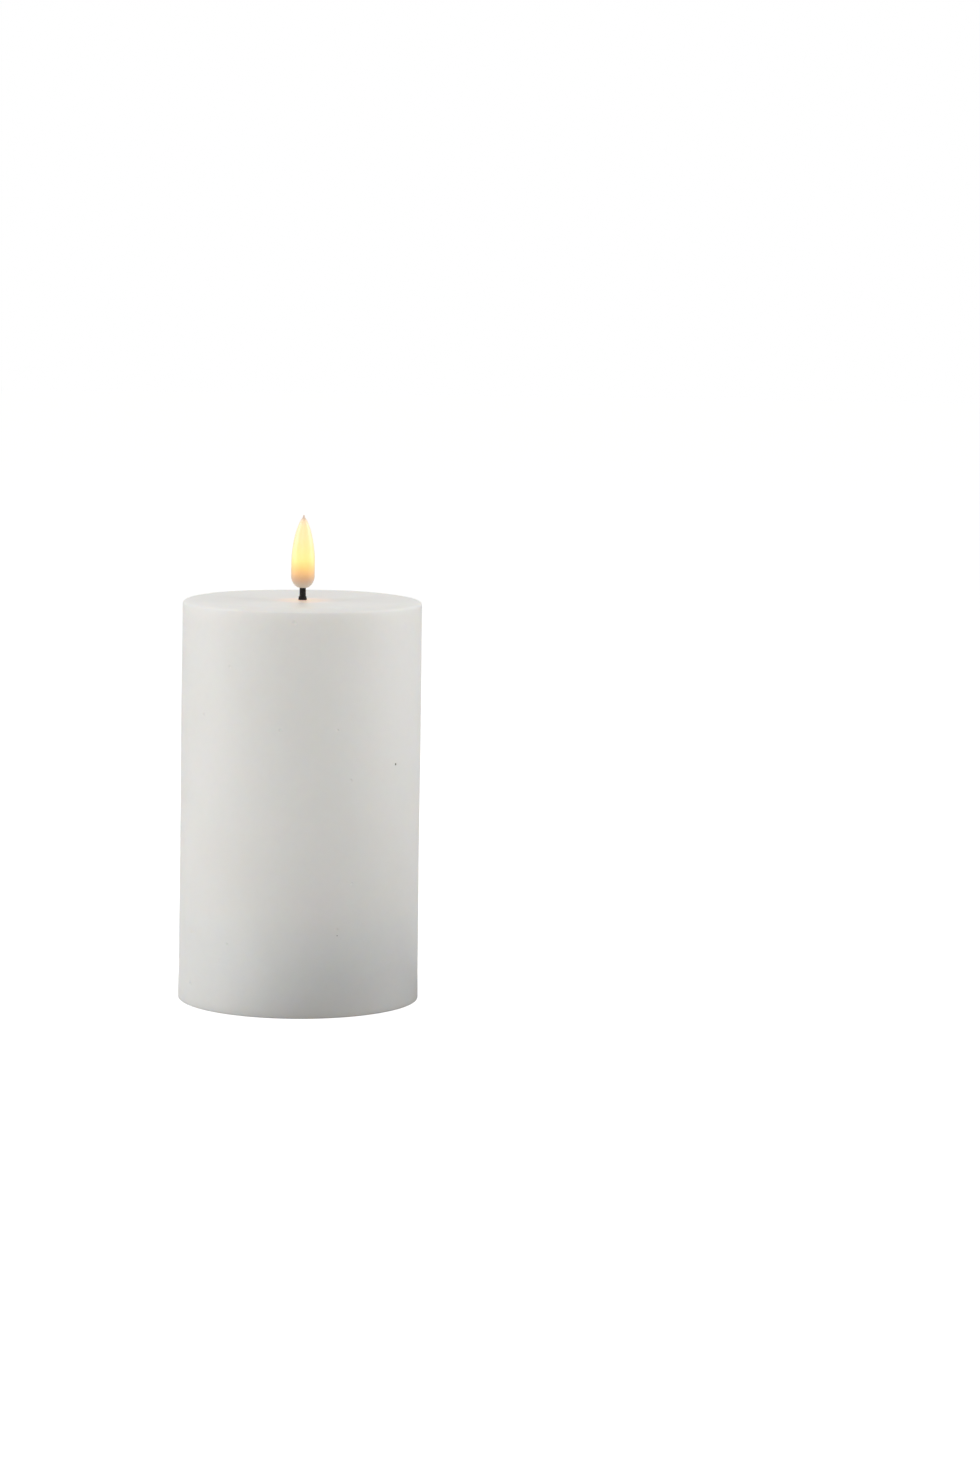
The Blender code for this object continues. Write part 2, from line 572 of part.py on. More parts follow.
clear_scene()
candle = new_collection("led_candle")
cutters = new_collection("cutters")
materials = {
    "wax": make_material("wax", (0.86, 0.85, 0.81), 0.45),
    "flame": make_material("flame", (1.0, 0.86, 0.45), 0.3),
    "black": make_material("black", (0.02, 0.02, 0.02), 0.5),
    "plastic": make_material("plastic", (0.85, 0.84, 0.8), 0.45),
    "rubber": make_material("rubber", (0.05, 0.05, 0.05), 0.8),
    "lens": make_material("lens", (0.95, 0.8, 0.5), 0.1),
    "steel": make_material("steel", (0.6, 0.6, 0.6), 0.35, 1.0),
    "nickel": make_material("nickel", (0.75, 0.73, 0.68), 0.3, 1.0),
    "cell": make_material("cell", (0.1, 0.25, 0.3), 0.35),
    "board": make_material("board", (0.03, 0.25, 0.1), 0.5),
    "resistor": make_material("resistor", (0.75, 0.62, 0.42), 0.5),
    "wire_red": make_material("wire_red", (0.6, 0.03, 0.02), 0.4),
    "wire_black": make_material("wire_black", (0.02, 0.02, 0.02), 0.4),
}
make_wax_body()
make_flame_shell()
make_wick()
make_lamp()
make_base_housing()
make_housing_cover()
make_grommet()
make_screws()
make_battery_door()
make_cells()
make_contacts()
make_board()
make_switch()
make_wires()
for piece in candle.objects:
    if piece.type == "MESH":
        finish_mesh(piece)
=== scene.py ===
"""The looks of a flameless LED pillar candle: cast wax, a lit flame on a black wick, and the battery housing
in its foot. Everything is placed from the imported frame. Lengths are in millimetres unless a comment says
otherwise."""

from math import atan2, cos, exp, hypot, pi, radians, sin

import bmesh
import bpy
from mathutils import Matrix, Vector, noise


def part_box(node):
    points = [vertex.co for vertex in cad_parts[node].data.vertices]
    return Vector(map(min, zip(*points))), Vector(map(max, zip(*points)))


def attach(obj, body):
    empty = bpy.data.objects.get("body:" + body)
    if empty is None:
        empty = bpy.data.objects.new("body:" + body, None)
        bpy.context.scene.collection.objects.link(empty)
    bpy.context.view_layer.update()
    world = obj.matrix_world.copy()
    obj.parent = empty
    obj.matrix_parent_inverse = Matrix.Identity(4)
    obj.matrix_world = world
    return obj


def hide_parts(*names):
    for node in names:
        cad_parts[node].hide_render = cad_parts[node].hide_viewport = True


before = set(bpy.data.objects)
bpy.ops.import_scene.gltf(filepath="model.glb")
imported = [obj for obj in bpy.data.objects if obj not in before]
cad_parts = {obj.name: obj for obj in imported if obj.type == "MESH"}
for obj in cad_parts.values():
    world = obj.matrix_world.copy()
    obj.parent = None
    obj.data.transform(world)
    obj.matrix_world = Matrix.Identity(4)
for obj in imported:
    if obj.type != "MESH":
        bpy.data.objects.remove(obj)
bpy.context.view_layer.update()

MM = 0.001
SHARP_ANGLE = radians(38)


def extent(node):
    """A CAD node's lowest and highest corner, in millimetres."""
    low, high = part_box(node)
    return Vector(low) / MM, Vector(high) / MM


# Places taken from the frame
WAX_HIGH = extent("wax_body")[1]
WAX_RADIUS = WAX_HIGH.x
WAX_HEIGHT = WAX_HIGH.z
FLAME_LOW, FLAME_HIGH = extent("flame_shell")
FLAME_FOOT = FLAME_LOW.z
FLAME_HEIGHT = FLAME_HIGH.z - FLAME_LOW.z
FLAME_RADIUS = FLAME_HIGH.x
WICK_LOW, WICK_HIGH = extent("wick_tube")
COLLAR_LOW, COLLAR_HIGH = extent("wick_collar")

# The wax body
WAX_WALL = 8.0
WAX_CEILING = 112.0
DISH_DEPTH = 0.65
RIM_DROP = 1.6
RIM_WIDTH = 4.5  # the rim's shoulder is wider than it is deep
FOOT_BEVEL = 0.25
FOOT_CHAMFER = 0.4  # on the inner side of the ring that it stands on
FOOT_RING_INSIDE = 33.5
SEAT_HEIGHT = 26.0  # the step inside, over the housing
WICK_HOLE_RADIUS = 1.5
WELL_DEPTH = 1.2  # the wider mouth of the wick's hole, round the ferrule
LIP_HEIGHT = 0.22  # the wax that has crept up at the well's edge
LIP_WIDTH = 0.8
POOL_DEPTH = 0.10  # a faint ring-shaped hollow round the wick
POOL_RADIUS = 10.5
POOL_WIDTH = 3.0
RIM_REACH = 4  # how far in from the side the wax has moved with it
SIDE_SHRINK = 0.15  # how far the cooling wax has drawn in, above its foot
SIDE_SWELL = 0.11
SIDE_RIPPLE = 0.035
TRUE_FOOT = 2  # the height up to which the wax has kept its mould's shape
FOOT_FADE = 8  # the height over which it then draws in
TOP_SWAY = 0.16
TOP_RIPPLE = 0.05
PIT_SINK = 0.05  # how far the wax round a pit has sunk
PIT_DEPTH = 0.25
GLOW_REACH = 14.0  # how far the painted glow of the lamp's warm light reaches in the wax round the wick
WAX_AROUND = 288  # segments round the candle
DISH_RINGS = 42  # and rings down each stretch of its section
RIM_RINGS = 14
SIDE_RINGS = 100
SURFACE_AT_WICK = WAX_HEIGHT - DISH_DEPTH

# The flame
FLAME_FOOT_RADIUS = 1.3
FLAME_FOOT_POWER = 1.7
FLAME_WIDEST_FROM = 3.4
FLAME_WIDEST_TO = 7.5
FLAME_TAPER_POWER = 0.72
FLAME_WALL = 0.7
FLAME_TIP_WALL = 2.4  # how far down from its tip the plastic is solid
NUB_HEIGHT = 0.9
NUB_RADIUS = 0.3
FLAME_LEAN = 0.10
FLAME_UNEVENNESS = 0.012  # as a share of its radius
FLAME_AROUND = 64
FLAME_RINGS = 84

# The wick, whose strands wind round it
WICK_BORE_RADIUS = 0.68
WICK_STRANDS = 6
WICK_TWIST = 1.9  # radians of a strand's pattern per millimetre of height
WICK_GROOVE = 0.012  # half the groove between strands, as a share of its radius
WICK_AROUND = 48
WICK_RINGS = 60

# Small pits that bubbles left in the wax: degrees from the front towards +X, height and radius
PITS = ((-1, 120.5, 1.1), (-33, 106.5, 0.7), (-50, 91.0, 0.6), (-7, 88.0, 0.7), (20, 88.0, 0.6),
        (27, 72.5, 0.7), (28, 41.0, 0.6), (21, 27.0, 0.6), (-33, 21.4, 0.7), (-60, 7.0, 0.7),
        (-59, 23.0, 0.6), (95, 104.0, 0.8), (118, 62.0, 0.7), (146, 31.0, 0.7), (174, 97.0, 0.9),
        (-95, 83.0, 0.7), (-120, 44.0, 0.8), (-151, 110.0, 0.6))
# Where a dark speck is caught in it: degrees, height and radius
SPECKS = ((54, 76.2, 0.5), (21, 25.2, 0.27), (-97, 61.0, 0.28), (151, 88.0, 0.33))


# ---------------------------------------------------------------- mesh helpers

def turned(name, profile, segments, material, wobble=None):
    """A turned piece, smooth but for its sharp edges. Its (radius, height) profile runs down the outer side.
    It starts and ends on the axis, or goes round in a loop that stays clear of it. wobble moves a point, in
    millimetres."""
    shape = bmesh.new()
    rings = []
    for radius, height in profile:
        count = segments if radius > 0 else 1
        ring = []
        for i in range(count):
            angle = 2 * pi * i / segments
            spot = Vector((radius * cos(angle), radius * sin(angle), height))
            if wobble:
                spot = wobble(spot)
            ring.append(shape.verts.new(spot * MM))
        rings.append(ring)
    pairs = list(zip(rings, rings[1:]))
    if profile[0][0] > 0:
        pairs.append((rings[-1], rings[0]))
    for upper, lower in pairs:
        for i in range(segments):
            k = (i + 1) % segments
            if len(upper) == 1:
                shape.faces.new((upper[0], lower[i], lower[k]))
            elif len(lower) == 1:
                shape.faces.new((upper[i], lower[0], upper[k]))
            else:
                shape.faces.new((upper[i], lower[i], lower[k], upper[k]))
    mesh = bpy.data.meshes.new(name)
    shape.to_mesh(mesh)
    shape.free()
    mesh.materials.append(material)
    mesh.shade_smooth()
    mesh.set_sharp_from_angle(angle=SHARP_ANGLE)
    piece = bpy.data.objects.new(name, mesh)
    bpy.context.scene.collection.objects.link(piece)
    return piece


def standing_for(piece, node):
    """The piece takes the place of the CAD node, and rides on the candle's body."""
    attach(piece, "candle")
    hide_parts(node)


# ---------------------------------------------------------------- material helpers

class Look:
    """A node material with one Principled shader, read in the piece's own coordinates."""

    def __init__(self, name, roughness=0.5, metallic=0.0):
        self.material = bpy.data.materials.new(name)
        self.material.use_nodes = True
        self.tree = self.material.node_tree
        self.shader = self.tree.nodes["Principled BSDF"]
        self.set("Roughness", roughness)
        self.set("Metallic", metallic)
        self.coordinates = self.tree.nodes.new("ShaderNodeTexCoord").outputs["Object"]
        self.normal = None

    def set(self, socket, value):
        self.shader.inputs[socket].default_value = value

    def link(self, output, target):
        self.tree.links.new(output, target)

    def feed(self, output, socket):
        self.link(output, self.shader.inputs[socket])

    def node(self, kind, **settings):
        made = self.tree.nodes.new(kind)
        for key, value in settings.items():
            setattr(made, key, value)
        return made

    def mapped(self, scale):
        """The piece's coordinates, scaled along each axis. The scales are features per metre."""
        mapping = self.node("ShaderNodeMapping")
        mapping.inputs["Scale"].default_value = scale
        self.link(self.coordinates, mapping.inputs["Vector"])
        return mapping.outputs["Vector"]

    def noise(self, scale, detail=3.0, rough=0.5, distortion=0.0):
        """Noise between 0 and 1. scale is one number, or one for each axis."""
        made = self.node("ShaderNodeTexNoise")
        stretch = scale if isinstance(scale, tuple) else (scale, scale, scale)
        self.link(self.mapped(stretch), made.inputs["Vector"])
        made.inputs["Scale"].default_value = 1.0
        made.inputs["Detail"].default_value = detail
        made.inputs["Roughness"].default_value = rough
        made.inputs["Distortion"].default_value = distortion
        return made.outputs["Fac"]

    def math(self, operation, a, b=0.0):
        made = self.node("ShaderNodeMath", operation=operation)
        for socket, value in zip(made.inputs, (a, b)):
            if isinstance(value, (int, float)):
                socket.default_value = value
            else:
                self.link(value, socket)
        return made.outputs[0]

    def ramp(self, factor, *stops, steps=False):
        """A ramp of (place, colour) or (place, grey value) stops. With steps, its colours don't blend."""
        made = self.node("ShaderNodeValToRGB")
        elements = made.color_ramp.elements
        while len(elements) < len(stops):
            elements.new(0.5)
        for element, (place, value) in zip(elements, stops):
            element.position = place
            element.color = (*value, 1) if isinstance(value, tuple) else (value, value, value, 1)
        if steps:
            made.color_ramp.interpolation = "CONSTANT"
        self.link(factor, made.inputs["Fac"])
        return made.outputs["Color"]

    def blend(self, factor, first, second):
        """A colour between two, which may be colours or outputs. factor is an output."""
        made = self.node("ShaderNodeMix", data_type="RGBA")
        sockets = [socket for socket in made.inputs if socket.type == "RGBA"]
        for socket, value in zip(sockets, (first, second)):
            if isinstance(value, tuple):
                socket.default_value = (*value, 1)
            else:
                self.link(value, socket)
        self.link(factor, made.inputs[0])
        return next(socket for socket in made.outputs if socket.type == "RGBA")

    def axis(self, name):
        """The X, Y or Z coordinate, in metres."""
        made = self.node("ShaderNodeSeparateXYZ")
        self.link(self.coordinates, made.inputs[0])
        return made.outputs[name]

    def span(self, value, low, high):
        """0 where the value is low, rising evenly to 1 where it is high. Both are in millimetres."""
        made = self.node("ShaderNodeMapRange")
        self.link(value, made.inputs["Value"])
        made.inputs["From Min"].default_value = low * MM
        made.inputs["From Max"].default_value = high * MM
        return made.outputs["Result"]

    def near(self, spot, reach):
        """1 at a spot, given in millimetres, falling to 0 at reach."""
        distance = self.node("ShaderNodeVectorMath", operation="DISTANCE")
        self.link(self.coordinates, distance.inputs[0])
        distance.inputs[1].default_value = Vector(spot) * MM
        fall = self.node("ShaderNodeMapRange", interpolation_type="SMOOTHSTEP")
        self.link(distance.outputs["Value"], fall.inputs["Value"])
        fall.inputs["From Min"].default_value = 0.0
        fall.inputs["From Max"].default_value = reach * MM
        fall.inputs["To Min"].default_value = 1.0
        fall.inputs["To Max"].default_value = 0.0
        return fall.outputs["Result"]

    def any_of(self, masks):
        """The highest of several masks."""
        joined = masks[0]
        for mask in masks[1:]:
            joined = self.math("MAXIMUM", joined, mask)
        return joined

    def bump(self, height, depth):
        """Adds relief. depth is the height in millimetres of a full step of the pattern."""
        made = self.node("ShaderNodeBump")
        made.inputs["Strength"].default_value = 1.0
        made.inputs["Distance"].default_value = depth * MM
        self.link(height, made.inputs["Height"])
        if self.normal is not None:
            self.link(self.normal, made.inputs["Normal"])
        self.normal = made.outputs["Normal"]
        self.feed(self.normal, "Normal")


def surface_spot(degrees, height):
    """A point on the candle's side, by its angle from the front towards +X."""
    angle = radians(degrees)
    return Vector((WAX_RADIUS * sin(angle), -WAX_RADIUS * cos(angle), height))


# ---------------------------------------------------------------- materials

def wax_look():
    """Cast paraffin: cloudy, softly translucent, smoother on top where it set last, with fine marks all
    round, and a painted warm glow round the wick, put into its colour and given as emission for the flame's
    light on it."""
    look = Look("cast_wax")
    clouds = look.noise(26.0, detail=4.0, distortion=0.6)
    body = look.ramp(clouds, (0.3, (0.848, 0.837, 0.808)), (0.5, (0.866, 0.861, 0.834)),
                     (0.7, (0.880, 0.862, 0.844)))
    grains = look.noise(420.0, detail=5.0, rough=0.6)
    body = look.blend(look.ramp(grains, (0.42, 0.0), (0.75, 0.3)), body, (0.83, 0.825, 0.80))
    glow = look.near((0, 0, SURFACE_AT_WICK), GLOW_REACH)
    # painted light: the wax's colour is warmed round the wick, for the flame's light falling on it
    body = look.blend(look.ramp(glow, (0.3, 0.0), (1.0, 0.8)), body, (0.88, 0.81, 0.72))
    for degrees, height, radius in SPECKS:
        speck = look.ramp(look.near(surface_spot(degrees, height), radius), (0.0, 0.0), (0.35, 1.0))
        body = look.blend(speck, body, (0.10, 0.085, 0.07))
    look.feed(body, "Base Color")
    look.set("Subsurface Weight", 0.6)
    look.set("Subsurface Radius", (1.0, 0.82, 0.62))
    look.set("Subsurface Scale", 0.006)
    top = look.math("GREATER_THAN", look.axis("Z"), (SURFACE_AT_WICK - 0.4) * MM)
    smears = look.noise((30.0, 30.0, 160.0), detail=4.0)
    rough = look.ramp(smears, (0.3, 0.36), (0.7, 0.52))
    look.feed(look.blend(top, rough, (0.42, 0.42, 0.42)), "Roughness")
    look.set("Coat Weight", 0.10)
    look.set("Coat Roughness", 0.35)
    rings = look.noise((26.0, 26.0, 950.0), detail=3.0, rough=0.6)
    patches = look.noise(55.0, detail=2.0)
    marks = look.math("MULTIPLY", rings, look.ramp(patches, (0.45, 0.0), (0.68, 1.0)))
    look.bump(marks, 0.05)
    look.bump(look.noise(330.0, detail=4.0), 0.03)
    look.bump(look.noise(70.0, detail=2.0), 0.12)
    pits = look.any_of([look.near(surface_spot(degrees, height), size) for degrees, height, size in PITS])
    look.bump(look.math("SUBTRACT", 1.0, pits), PIT_DEPTH)
    # painted glow: emission in the wax round the wick, for the flame's light on the top
    painted_glow = look.ramp(glow, (0.04, (0.0, 0.0, 0.0)), (0.29, (0.05, 0.017, 0.0)), (0.55, (0.11, 0.038, 0.0)),
                       (0.76, (0.17, 0.062, 0.005)), (0.95, (0.28, 0.105, 0.015)), (1.0, (0.31, 0.12, 0.02)))
    look.feed(painted_glow, "Emission Color")
    look.set("Emission Strength", 1.0)
    return look.material


def flame_look():
    """Milky plastic with the light of the lamp inside painted on as emission: grey-white at its foot, amber
    above it, brightest at mid height.
    """
    look = Look("lit_flame", roughness=0.32)
    share = look.span(look.axis("Z"), FLAME_FOOT, FLAME_FOOT + FLAME_HEIGHT)
    unevenness = look.math("MULTIPLY", look.math("SUBTRACT", look.noise(300.0), 0.5), 0.05)
    height = look.math("ADD", share, unevenness)

    def along(*stops):
        """A ramp up the flame, of (millimetres above its foot, colour) stops."""
        return look.ramp(height, *((rise / FLAME_HEIGHT, colour) for rise, colour in stops))

    body = along((0.0, (0.53, 0.51, 0.47)), (2.1, (0.46, 0.41, 0.35)), (3.3, (0.44, 0.38, 0.31)),
                 (6.0, (0.45, 0.38, 0.30)), (9.0, (0.46, 0.44, 0.39)), (20.0, (0.47, 0.45, 0.42)),
                 (21.9, (0.48, 0.38, 0.32)))
    # painted light: the glow of the lamp inside, given to the shell as emission up its height
    light = along((0.0, (0.06, 0.05, 0.03)), (0.8, (0.10, 0.075, 0.045)), (2.1, (0.22, 0.08, 0.01)),
                  (3.3, (0.39, 0.15, 0.005)), (4.6, (0.57, 0.27, 0.012)), (6.0, (0.72, 0.40, 0.02)),
                  (7.2, (0.75, 0.49, 0.02)), (8.6, (0.76, 0.58, 0.04)), (10.2, (0.76, 0.60, 0.06)),
                  (13.0, (0.74, 0.55, 0.08)), (16.0, (0.71, 0.53, 0.12)), (19.3, (0.66, 0.51, 0.14)),
                  (20.9, (0.62, 0.41, 0.17)), (22.0, (0.28, 0.19, 0.14)))
    look.feed(body, "Base Color")
    look.feed(light, "Emission Color")
    look.set("Emission Strength", 1.0)
    look.set("Subsurface Weight", 0.3)
    look.set("Subsurface Radius", (1.0, 0.8, 0.5))
    look.set("Subsurface Scale", 0.0015)
    look.set("Coat Weight", 0.5)
    look.set("Coat Roughness", 0.16)
    look.set("Sheen Weight", 1.0)
    look.set("Sheen Roughness", 0.4)
    look.bump(look.noise(900.0, detail=2.0), 0.01)
    return look.material


def plastic_look(name, colour, roughness=0.42, grain_depth=0.012, coat=0.0):
    """Moulded plastic: fine spark-eroded grain, slight flow clouds, and rubbed patches that shine more."""
    look = Look(name, roughness)
    darker = tuple(0.93 * value for value in colour)
    flow = look.noise(60.0, detail=3.0, distortion=1.2)
    look.feed(look.blend(look.ramp(flow, (0.35, 0.0), (0.7, 1.0)), colour, darker), "Base Color")
    rubbed = look.noise(140.0, detail=4.0)
    look.feed(look.ramp(rubbed, (0.3, roughness - 0.07), (0.7, roughness + 0.07)), "Roughness")
    look.set("Coat Weight", coat)
    look.bump(look.noise(2600.0, detail=2.0), grain_depth)
    return look.material


def metal_look(name, colour, roughness, lines):
    """Metal with drawing or rolling lines. lines is their frequency along each axis."""
    look = Look(name, roughness, metallic=1.0)
    drawn = look.noise(lines, detail=4.0, rough=0.65)
    tarnish = look.noise(220.0, detail=3.0)
    dull = tuple(0.72 * value for value in colour)
    look.feed(look.blend(look.ramp(tarnish, (0.45, 0.0), (0.75, 1.0)), colour, dull), "Base Color")
    look.feed(look.ramp(drawn, (0.3, max(roughness - 0.1, 0.05)), (0.7, roughness + 0.12)), "Roughness")
    look.bump(drawn, 0.006)
    return look.material


def wick_look():
    """Black moulded plastic with the weave of a cotton wick pressed into it."""
    look = Look("black_wick", roughness=0.6)
    weave = look.node("ShaderNodeTexWave", wave_type="BANDS", bands_direction="DIAGONAL")
    look.link(look.mapped((900.0, 900.0, 700.0)), weave.inputs["Vector"])
    weave.inputs["Scale"].default_value = 1.0
    weave.inputs["Distortion"].default_value = 1.5
    look.feed(look.ramp(weave.outputs["Fac"], (0.2, (0.003, 0.003, 0.003)), (0.9, (0.010, 0.010, 0.009))),
              "Base Color")
    look.set("Specular IOR Level", 0.2)
    look.bump(weave.outputs["Fac"], 0.05)
    return look.material


# Where wires are soldered to the board, and its two screws: x and y
PADS = ((-8.8, 23.0), (0.4, 23.6), (9.4, 19.6), (11.8, 19.6), (-12.6, 22.6), (12.6, 22.6))
PAD_REACH = 2.0


def board_look():
    """Green solder mask over copper tracks, with tinned pads where the wires and screws are."""
    look = Look("solder_mask", roughness=0.34)
    tracks = look.node("ShaderNodeTexBrick")
    look.link(look.mapped((420.0, 420.0, 420.0)), tracks.inputs["Vector"])
    tracks.inputs["Scale"].default_value = 1.0
    tracks.inputs["Mortar Size"].default_value = 0.06
    green = look.blend(tracks.outputs["Fac"], (0.02, 0.17, 0.07), (0.05, 0.27, 0.12))
    top = extent("circuit_board")[1].z
    pads = look.any_of([look.math("GREATER_THAN", look.near((x, y, top), PAD_REACH), 0.25) for x, y in PADS])
    look.feed(look.blend(pads, green, (0.62, 0.6, 0.55)), "Base Color")
    look.feed(look.math("MULTIPLY", pads, 0.9), "Metallic")
    look.bump(look.math("SUBTRACT", 1.0, tracks.outputs["Fac"]), 0.03)
    look.set("Coat Weight", 0.4)
    return look.material


def cell_look():
    """A dry cell's printed sleeve with plain bands, and bright nickel where the can shows at its ends."""
    look = Look("cell_sleeve", roughness=0.3)
    tip = extent("battery_cell_1")[1].x
    along = look.math("ABSOLUTE", look.axis("X"))
    metal = look.math("GREATER_THAN", along, (tip - 2.6) * MM)
    cuffs = look.math("GREATER_THAN", along, 17.0 * MM)
    ink = look.blend(look.noise(90.0), (0.05, 0.2, 0.26), (0.07, 0.25, 0.31))
    sleeve = look.blend(cuffs, ink, (0.42, 0.44, 0.44))
    look.feed(look.blend(metal, sleeve, (0.7, 0.68, 0.63)), "Base Color")
    look.feed(look.math("MAXIMUM", metal, look.math("MULTIPLY", cuffs, 0.6)), "Metallic")
    look.bump(look.noise(500.0), 0.01)
    look.set("Coat Weight", 0.5)
    return look.material


def resistor_look():
    """A tan body with plain colour bands."""
    look = Look("resistor_body", roughness=0.35)
    low, high = extent("resistor")
    tan = (0.72, 0.58, 0.38)
    stops = [(0.0, tan)]
    for place, colour in ((0.22, (0.45, 0.06, 0.03)), (0.4, (0.3, 0.12, 0.04)), (0.58, (0.6, 0.2, 0.02)),
                          (0.78, (0.55, 0.4, 0.12))):
        stops += [(place, colour), (place + 0.07, tan)]
    bands = look.ramp(look.span(look.axis("X"), low.x, high.x), *stops, steps=True)
    look.feed(look.blend(look.ramp(look.noise(1500.0), (0.4, 0.0), (0.9, 0.2)), bands, (0.6, 0.46, 0.3)),
              "Base Color")
    look.set("Coat Weight", 0.5)
    return look.material


def capacitor_look():
    """A dark sleeve with a pale stripe down one side, and the bare can on top."""
    look = Look("capacitor_can", roughness=0.3)
    high = extent("capacitor")[1]
    top = look.math("GREATER_THAN", look.axis("Z"), (high.z - 0.25) * MM)
    stripe = look.math("GREATER_THAN", look.axis("X"), (high.x - 0.5) * MM)
    sleeve = look.blend(look.noise(200.0), (0.02, 0.022, 0.035), (0.035, 0.037, 0.055))
    sleeve = look.blend(stripe, sleeve, (0.55, 0.56, 0.6))
    look.feed(look.blend(top, sleeve, (0.68, 0.68, 0.68)), "Base Color")
    look.feed(top, "Metallic")
    look.set("Coat Weight", 0.4)
    return look.material


def lamp_look():
    """Warm clear resin over a lit chip."""
    look = Look("lamp_lens", roughness=0.12)
    low, high = extent("led_lamp")
    core = look.near((0, 0, (low.z + high.z) / 2), 4.0)
    look.feed(look.ramp(core, (0.0, (0.95, 0.8, 0.5)), (1.0, (1.0, 0.9, 0.62))), "Base Color")
    look.feed(look.ramp(core, (0.0, (0.5, 0.25, 0.05)), (1.0, (1.0, 0.75, 0.35))), "Emission Color")
    look.set("Emission Strength", 2.0)
    look.set("Coat Weight", 0.5)
    return look.material


# ---------------------------------------------------------------- the wax

def wax_profile():
    """The wax body's section: the well round the wick, the dish, the rim, the side, the foot, the ring that
    it stands on, and the hollow."""
    well = COLLAR_HIGH.x + 0.3
    well_floor = SURFACE_AT_WICK - WELL_DEPTH
    edge = WAX_RADIUS - RIM_WIDTH
    dish = []
    for step in range(DISH_RINGS):
        radius = well + (edge - well) * (step / DISH_RINGS)
        share = radius / edge
        lip = LIP_HEIGHT * exp(-((radius - well) / LIP_WIDTH) ** 2)
        pool = POOL_DEPTH * exp(-((radius - POOL_RADIUS) / POOL_WIDTH) ** 2)
        dish.append((radius, WAX_HEIGHT - DISH_DEPTH * (1 - share ** 2 * (3 - 2 * share)) + lip - pool))
    side_top = WAX_HEIGHT - RIM_DROP
    turns = [pi / 2 * step / RIM_RINGS for step in range(RIM_RINGS + 1)]
    rim = [(edge + RIM_WIDTH * sin(turn), side_top + RIM_DROP * cos(turn)) for turn in turns]
    side = [(WAX_RADIUS, side_top + (FOOT_BEVEL - side_top) * step / SIDE_RINGS)
            for step in range(1, SIDE_RINGS + 1)]
    foot = [(WAX_RADIUS - FOOT_BEVEL * (1 - cos(turn)), FOOT_BEVEL * (1 - sin(turn)))
            for turn in (pi / 8, pi / 4, 3 * pi / 8, pi / 2)]
    ring = [(FOOT_RING_INSIDE + FOOT_CHAMFER, 0),
            *((FOOT_RING_INSIDE, height) for height in (FOOT_CHAMFER, 8, 17, SEAT_HEIGHT))]
    inner = WAX_RADIUS - WAX_WALL
    hollow = [*((inner, height) for height in (SEAT_HEIGHT, 45, 75, 100)), (inner - 2, WAX_CEILING - 0.6),
              (inner - 3, WAX_CEILING), (12, WAX_CEILING)]
    return [(WICK_HOLE_RADIUS, WAX_CEILING), (WICK_HOLE_RADIUS, well_floor), (well, well_floor), *dish, *rim,
            *side, *foot, *ring, *hollow]


def wax_wobble(spot):
    """Cast wax isn't quite true: its side has drawn in a little and swells here and there, its rim dips, and
    small bubbles have left dimples."""
    radius = hypot(spot.x, spot.y)
    out = Vector((spot.x, spot.y, 0)) / radius
    if radius > WAX_RADIUS - RIM_REACH and spot.z > TRUE_FOOT:
        swell = SIDE_SWELL * noise.noise(Vector((out.x * 2.1, out.y * 2.1, spot.z / 34))) - SIDE_SHRINK
        swell += SIDE_RIPPLE * noise.noise(Vector((out.x * 7, out.y * 7, spot.z / 9)))
        for degrees, height, size in PITS:
            away = (spot - surface_spot(degrees, height)).length
            swell -= PIT_SINK * exp(-(away / (2.2 * size)) ** 2)
        above_foot = min(1.0, (spot.z - TRUE_FOOT) / FOOT_FADE)
        over_rim = min(1.0, (radius - WAX_RADIUS + RIM_REACH) / (RIM_REACH / 2))
        spot = spot + out * swell * above_foot * over_rim
    if spot.z > SURFACE_AT_WICK - 0.5 and radius > 3:
        sway = TOP_SWAY * noise.noise(Vector((out.x * 1.3, out.y * 1.3, 4.0)))
        ripple = TOP_RIPPLE * noise.noise(Vector((spot.x / 6, spot.y / 6, 9.0)))
        spot = spot + Vector((0, 0, (sway + ripple) * min(1.0, radius / WAX_RADIUS + 0.15)))
    return spot


def make_wax():
    shell = turned("wax_shell", wax_profile(), WAX_AROUND, wax_look(), wax_wobble)
    standing_for(shell, "wax_body")


# ---------------------------------------------------------------- the flame and the wick

def flame_radius(height):
    """The flame's radius at a height above its foot: a rounded foot, an upright waist, a long taper and a
    moulding nub."""
    body_top = FLAME_HEIGHT - NUB_HEIGHT * 0.5
    if height < FLAME_WIDEST_FROM:
        share = 1 - height / FLAME_WIDEST_FROM
        grown = (1 - share ** FLAME_FOOT_POWER) ** (1 / FLAME_FOOT_POWER)
        return FLAME_FOOT_RADIUS + (FLAME_RADIUS - FLAME_FOOT_RADIUS) * grown
    share = min(max(height - FLAME_WIDEST_TO, 0) / (body_top - FLAME_WIDEST_TO), 1)
    body = FLAME_RADIUS * (1 - share ** 2) ** FLAME_TAPER_POWER
    nub = NUB_RADIUS * max(0, 1 - ((height - FLAME_HEIGHT + NUB_HEIGHT) / NUB_HEIGHT) ** 4) ** 0.5
    return max(body, nub if height > FLAME_HEIGHT - NUB_HEIGHT else 0)


def flame_wobble(spot):
    """The mould's slight lean and softness."""
    rise = spot.z - FLAME_FOOT
    lean = FLAME_LEAN * (rise / FLAME_HEIGHT) ** 2
    swell = 1 + FLAME_UNEVENNESS * noise.noise(Vector((spot.x * 0.4, spot.y * 0.4, rise * 0.16)))
    return Vector((spot.x * swell + lean, spot.y * swell, spot.z))


